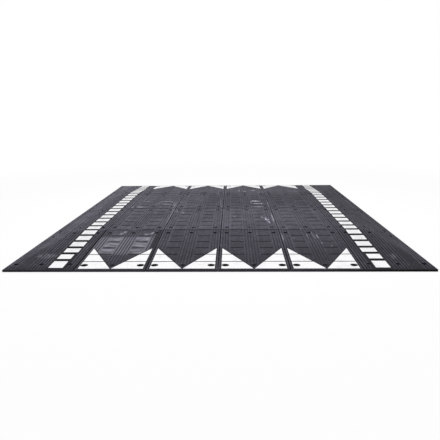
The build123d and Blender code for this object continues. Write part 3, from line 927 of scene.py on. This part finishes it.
# Real beads are under 1 mm across. The dirt between them is drawn coarser so that it shows.
BEAD = 6 * MM
BEAD_SHARE = (0.5, 1.5)
BEAD_HEIGHT = 0.2 * MM
BEAD_BUMP = 0.3
DIRT_PATCH = 70 * MM
DIRT_NOISE = (0.45, 0.75)
PATCH_DIRT = 0.35
# The upward part of a face's direction, where the rounded edges start to darken and where they are
# darkest.
EDGE_TILT = (0.97, 0.7)
THERMOPLASTIC_ROUGHNESS = 0.55


def thermoplastic():
    """Preformed road marking with glass beads: chalky off-white, with faint grey dirt in patches."""
    material, tree = new_material("white_road_thermoplastic")
    place = add(tree, "TexCoord", {}).outputs["Object"]
    bead = add(tree, "TexNoise", {}, place, Scale=1 / BEAD, Detail=2.0)
    patch = add(tree, "TexNoise", {}, place, Scale=1 / DIRT_PATCH, Detail=4.0, Roughness=0.65)
    dirt = add(tree, "MapRange", SOFT_STEP, patch, *DIRT_NOISE, 0.0, PATCH_DIRT)
    dirt = add(tree, "Math", PLUS, dirt, block_grime(tree, place))
    dirt = add(tree, "Math", TIMES, dirt, add(tree, "MapRange", {}, bead, *NOISE_RANGE, *BEAD_SHARE))
    upward = add(tree, "SeparateXYZ", {}, add(tree, "NewGeometry", {}).outputs["Normal"]).outputs["Z"]
    edge = add(tree, "MapRange", SOFT_STEP, upward, *EDGE_TILT)
    colour = add(tree, "Mix", COLOUR, dirt, CHALK_WHITE, GREY_DIRT)
    # The rounded edges get darker the steeper they turn.
    colour = add(tree, "Mix", COLOUR, edge, colour, STEEP_EDGE_GREY)
    bump = add(tree, "Bump", {}, Strength=BEAD_BUMP, Distance=BEAD_HEIGHT, Height=bead)
    shader = add(
        tree, "BsdfPrincipled", {}, Base_Color=colour, Roughness=THERMOPLASTIC_ROUGHNESS, Normal=bump)
    add(tree, "OutputMaterial", {}, Surface=shader)
    return material


finishes["white_inlay"] = thermoplastic()
print("white inlays", finishes["white_inlay"].name)

# %% [markdown]
# ## The washers
# A washer sits at the bottom of every bolt hole and spreads the bolt's load. It is steel with a thin
# bright coat of zinc, whose crystals reflect a little unevenly. A noise would blur them into each other,
# while the cells of a Voronoi texture have edges, as crystals do.

# %% Zinc-plated steel
DULL_ZINC = linear("#8d9093")
BRIGHT_ZINC = linear("#b3b6b9")
# Crystals of plated zinc are too fine to see. They are drawn this coarse so that they show close up.
SPANGLE = 5 * MM
ZINC_ROUGHNESS = (0.32, 0.5)


def zinc_steel():
    """Zinc-plated steel: a cool grey metal with a soft, uneven shine."""
    material, tree = new_material("zinc_plated_steel")
    place = add(tree, "TexCoord", {}).outputs["Object"]
    spangle = add(tree, "TexVoronoi", {}, place, Scale=1 / SPANGLE)
    tone = add(tree, "SeparateColor", {}, spangle.outputs["Color"]).outputs[0]
    colour = add(tree, "Mix", COLOUR, tone, DULL_ZINC, BRIGHT_ZINC)
    roughness = add(tree, "MapRange", {}, tone, 0.0, 1.0, *ZINC_ROUGHNESS)
    shader = add(tree, "BsdfPrincipled", {}, Base_Color=colour, Roughness=roughness, Metallic=1.0)
    add(tree, "OutputMaterial", {}, Surface=shader)
    return material


finishes["washer_steel"] = zinc_steel()
print("washers", finishes["washer_steel"].name)

# %% [markdown]
# ## The keys
# The bow-tie keys under the seams are injection-moulded plastic, and they show only when the table is
# turned over. Such plastic is waxy and shows faint swirls where it flowed into the mould, which a noise
# that bends itself draws.

# %% Moulded polyethylene
FLOW_DARK = linear("#1d1d1f")
FLOW_PALE = linear("#2b2b2e")
FLOW_MARK = 40 * MM
FLOW_BEND = 1.5
WAXY_ROUGHNESS = (0.42, 0.55)


def moulded_polyethylene():
    """Injection-moulded black polyethylene: waxy, with faint flow marks."""
    material, tree = new_material("moulded_black_polyethylene")
    place = add(tree, "TexCoord", {}).outputs["Object"]
    flow = add(tree, "TexNoise", {}, place, Scale=1 / FLOW_MARK, Detail=2.0, Distortion=FLOW_BEND)
    colour = add(tree, "Mix", COLOUR, flow, FLOW_DARK, FLOW_PALE)
    roughness = add(tree, "MapRange", {}, flow, *NOISE_RANGE, *WAXY_ROUGHNESS)
    shader = add(tree, "BsdfPrincipled", {}, Base_Color=colour, Roughness=roughness)
    add(tree, "OutputMaterial", {}, Surface=shader)
    return material


finishes["key_plastic"] = moulded_polyethylene()
print("keys", finishes["key_plastic"].name)

# %% [markdown]
# ## Putting the pieces together
# Each rounded piece takes its finish, stands for the solid that it was copied from and stays with the
# one body that the table is. The finish follows from the solid's slot in the record, so a loop does for
# all pieces, and none has to be picked by its name.

# %% Finish every piece
for name, piece in pieces.items():
    piece.data.materials.append(finishes[slots[name]])
    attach(piece, "root")
    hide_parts(name)
print(len(pieces), "finished pieces")
